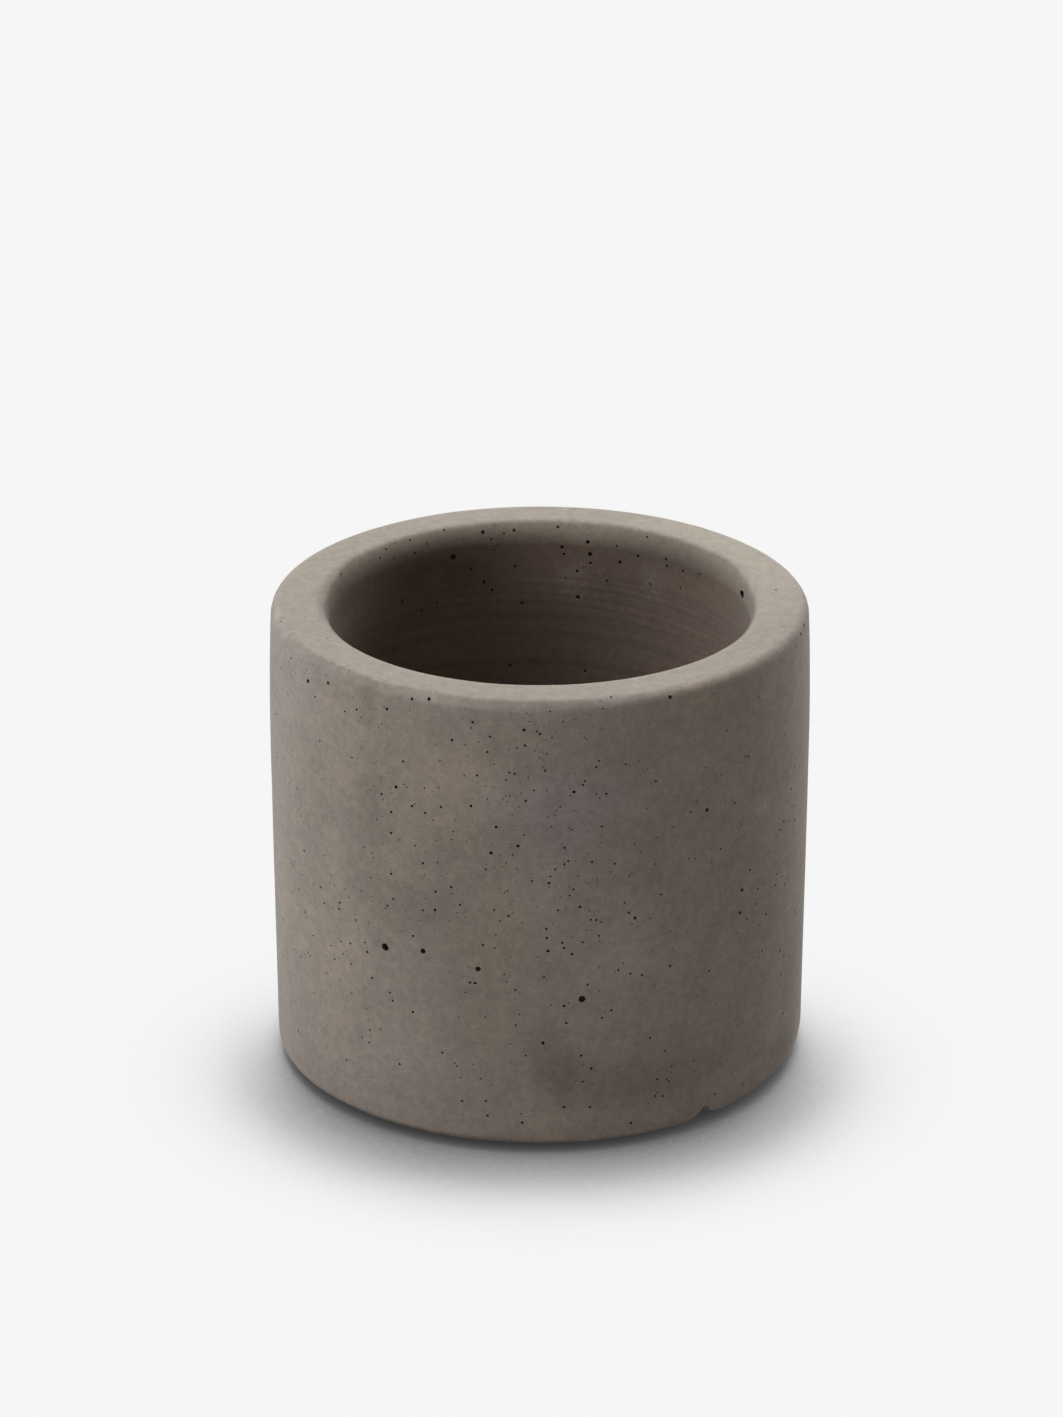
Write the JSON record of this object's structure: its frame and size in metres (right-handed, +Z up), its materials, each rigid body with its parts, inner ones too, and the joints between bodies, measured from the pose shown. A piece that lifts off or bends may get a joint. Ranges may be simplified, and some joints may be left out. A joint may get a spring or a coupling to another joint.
{
  "type": "plant pot",
  "caption": "Small round plant pot of cast concrete with a thick wall, a rounded rim, a lift-out drain plug and stick-on rubber feet.",
  "frame": {"origin": "on the floor under the middle of the pot, in the plane of the feet's undersides", "axes": "+Z up along the pot's axis; the picture looks from the -Y side with +X to the right; the feet lie between the X and Y axes"},
  "size_m": [0.14, 0.14, 0.1245],
  "materials": {
    "concrete": "bare cast concrete, matt, mottled and pitted with air bubbles",
    "plug_rubber": "moulded rubber, dark grey, matt",
    "foot_rubber": "moulded rubber, black, matt"
  },
  "bodies": {
    "pot": {"pot_body": "concrete", "foot_1": "foot_rubber", "foot_2": "foot_rubber", "foot_3": "foot_rubber", "foot_4": "foot_rubber"},
    "plug": {"drain_plug": "plug_rubber"}
  },
  "joints": [
    {"name": "plug_lift", "type": "slide", "parent": "pot", "child": "plug", "axis": [0, 0, 1], "range_m": [0, 0.14]}
  ]
}
